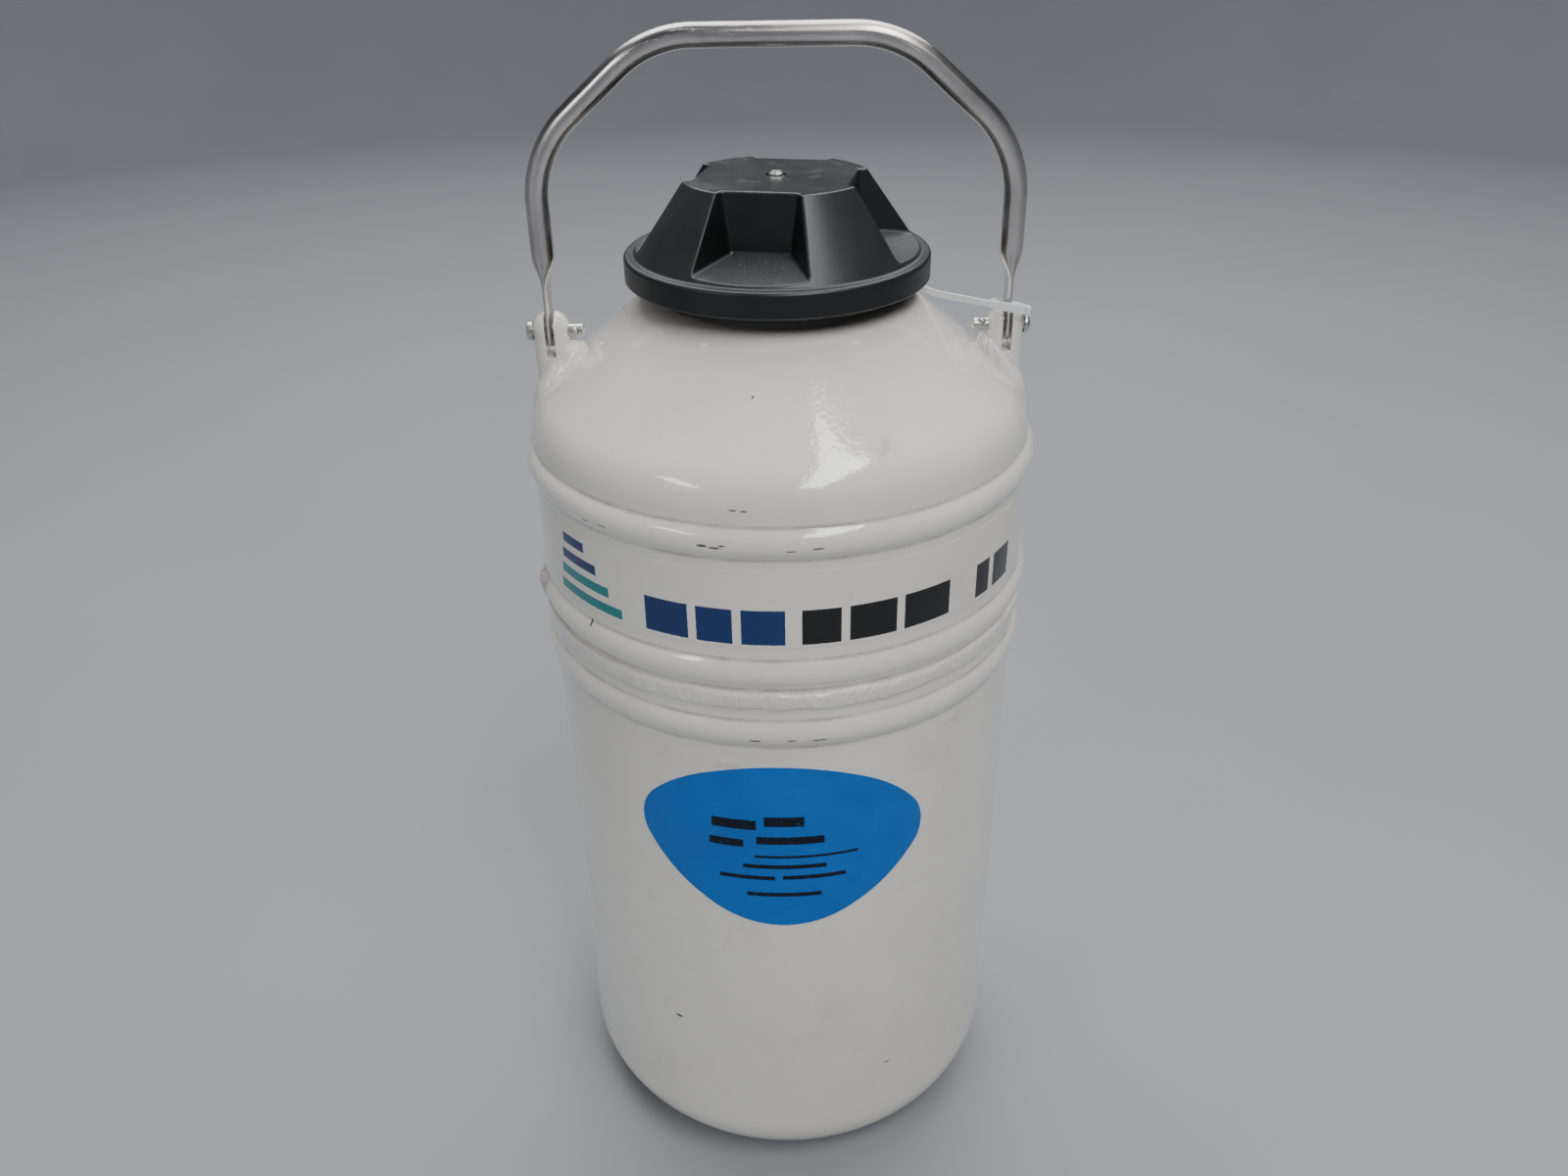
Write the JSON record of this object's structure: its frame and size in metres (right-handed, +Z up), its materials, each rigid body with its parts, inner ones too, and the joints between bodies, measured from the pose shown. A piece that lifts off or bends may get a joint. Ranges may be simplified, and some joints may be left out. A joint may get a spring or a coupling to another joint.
{
  "type": "liquid nitrogen dewar",
  "caption": "Small aluminium dewar for liquid nitrogen, with a loose insulated cap and a swinging bail handle on two pinned brackets.",
  "frame": {"origin": "centre of the base, on the surface it stands on", "axes": "+Z up along the neck; X along the two handle pins; -Y is the front, with the label"},
  "size_m": [0.258, 0.2578, 0.6125],
  "materials": {
    "white_enamel": "gloss",
    "white_weld": "gloss",
    "bare_aluminium": "satin",
    "glass_fibre": "satin",
    "foil_wrap": "satin",
    "adsorbent": "matte",
    "seal_rubber": "matte",
    "black_moulding": "satin",
    "polished_steel": "polished",
    "zinc_steel": "satin",
    "foam": "matte",
    "blue_film": "gloss",
    "white_film": "gloss",
    "nylon": "satin"
  },
  "bodies": {
    "vessel": {"outer_shell_lower": "white_enamel", "outer_shell_upper": "white_enamel", "girth_weld": "white_weld", "neck_collar": "bare_aluminium", "collar_weld": "bare_aluminium", "neck_tube": "glass_fibre", "inner_neck_ring": "bare_aluminium", "inner_vessel_lower": "bare_aluminium", "inner_vessel_upper": "bare_aluminium", "inner_girth_weld": "bare_aluminium", "insulation_inner": "foil_wrap", "insulation_outer": "foil_wrap", "insulation_neck": "foil_wrap", "adsorbent_pack": "adsorbent", "vacuum_port": "bare_aluminium", "port_plug": "zinc_steel", "port_seal": "seal_rubber", "port_cover": "black_moulding", "handle_bracket_left": "white_enamel", "handle_bracket_right": "white_enamel", "bracket_weld_left": "white_weld", "bracket_weld_right": "white_weld", "detent_pin_left": "zinc_steel", "detent_pin_right": "zinc_steel", "detent_spring_left": "zinc_steel", "detent_spring_right": "zinc_steel", "front_label": "blue_film", "band_film": "white_film", "tether_strap": "nylon", "tether_head": "nylon"},
    "cap": {"cap_shell": "black_moulding", "cap_base": "black_moulding", "cap_foam": "foam", "neck_core": "foam", "washer_top": "zinc_steel", "washer_bottom": "zinc_steel", "cap_bolt": "zinc_steel", "core_nut": "zinc_steel"},
    "handle": {"handle_bail": "polished_steel"},
    "ball_left": {"detent_ball_left": "polished_steel"},
    "ball_right": {"detent_ball_right": "polished_steel"}
  },
  "joints": [
    {"name": "cap_lift", "type": "slide", "parent": "vessel", "child": "cap", "axis": [0, 0, 1], "range_m": [0, 0.05]},
    {"name": "handle_swing", "type": "hinge", "parent": "vessel", "child": "handle", "pos_m": [0, 0, 0.4733], "axis": [1, 0, 0], "range_deg": [-102, 102], "deforming": ["tether_strap"]},
    {"name": "detent_left", "type": "slide", "parent": "vessel", "child": "ball_left", "axis": [0, 0.9781, -0.2079], "range_m": [0, 0.0008], "stiffness_N_per_m": 400, "springref_m": -0.0005, "deforming": ["detent_spring_left"]},
    {"name": "detent_right", "type": "slide", "parent": "vessel", "child": "ball_right", "axis": [0, 0.6428, -0.766], "range_m": [0, 0.0008], "stiffness_N_per_m": 400, "springref_m": -0.0005, "deforming": ["detent_spring_right"]}
  ]
}
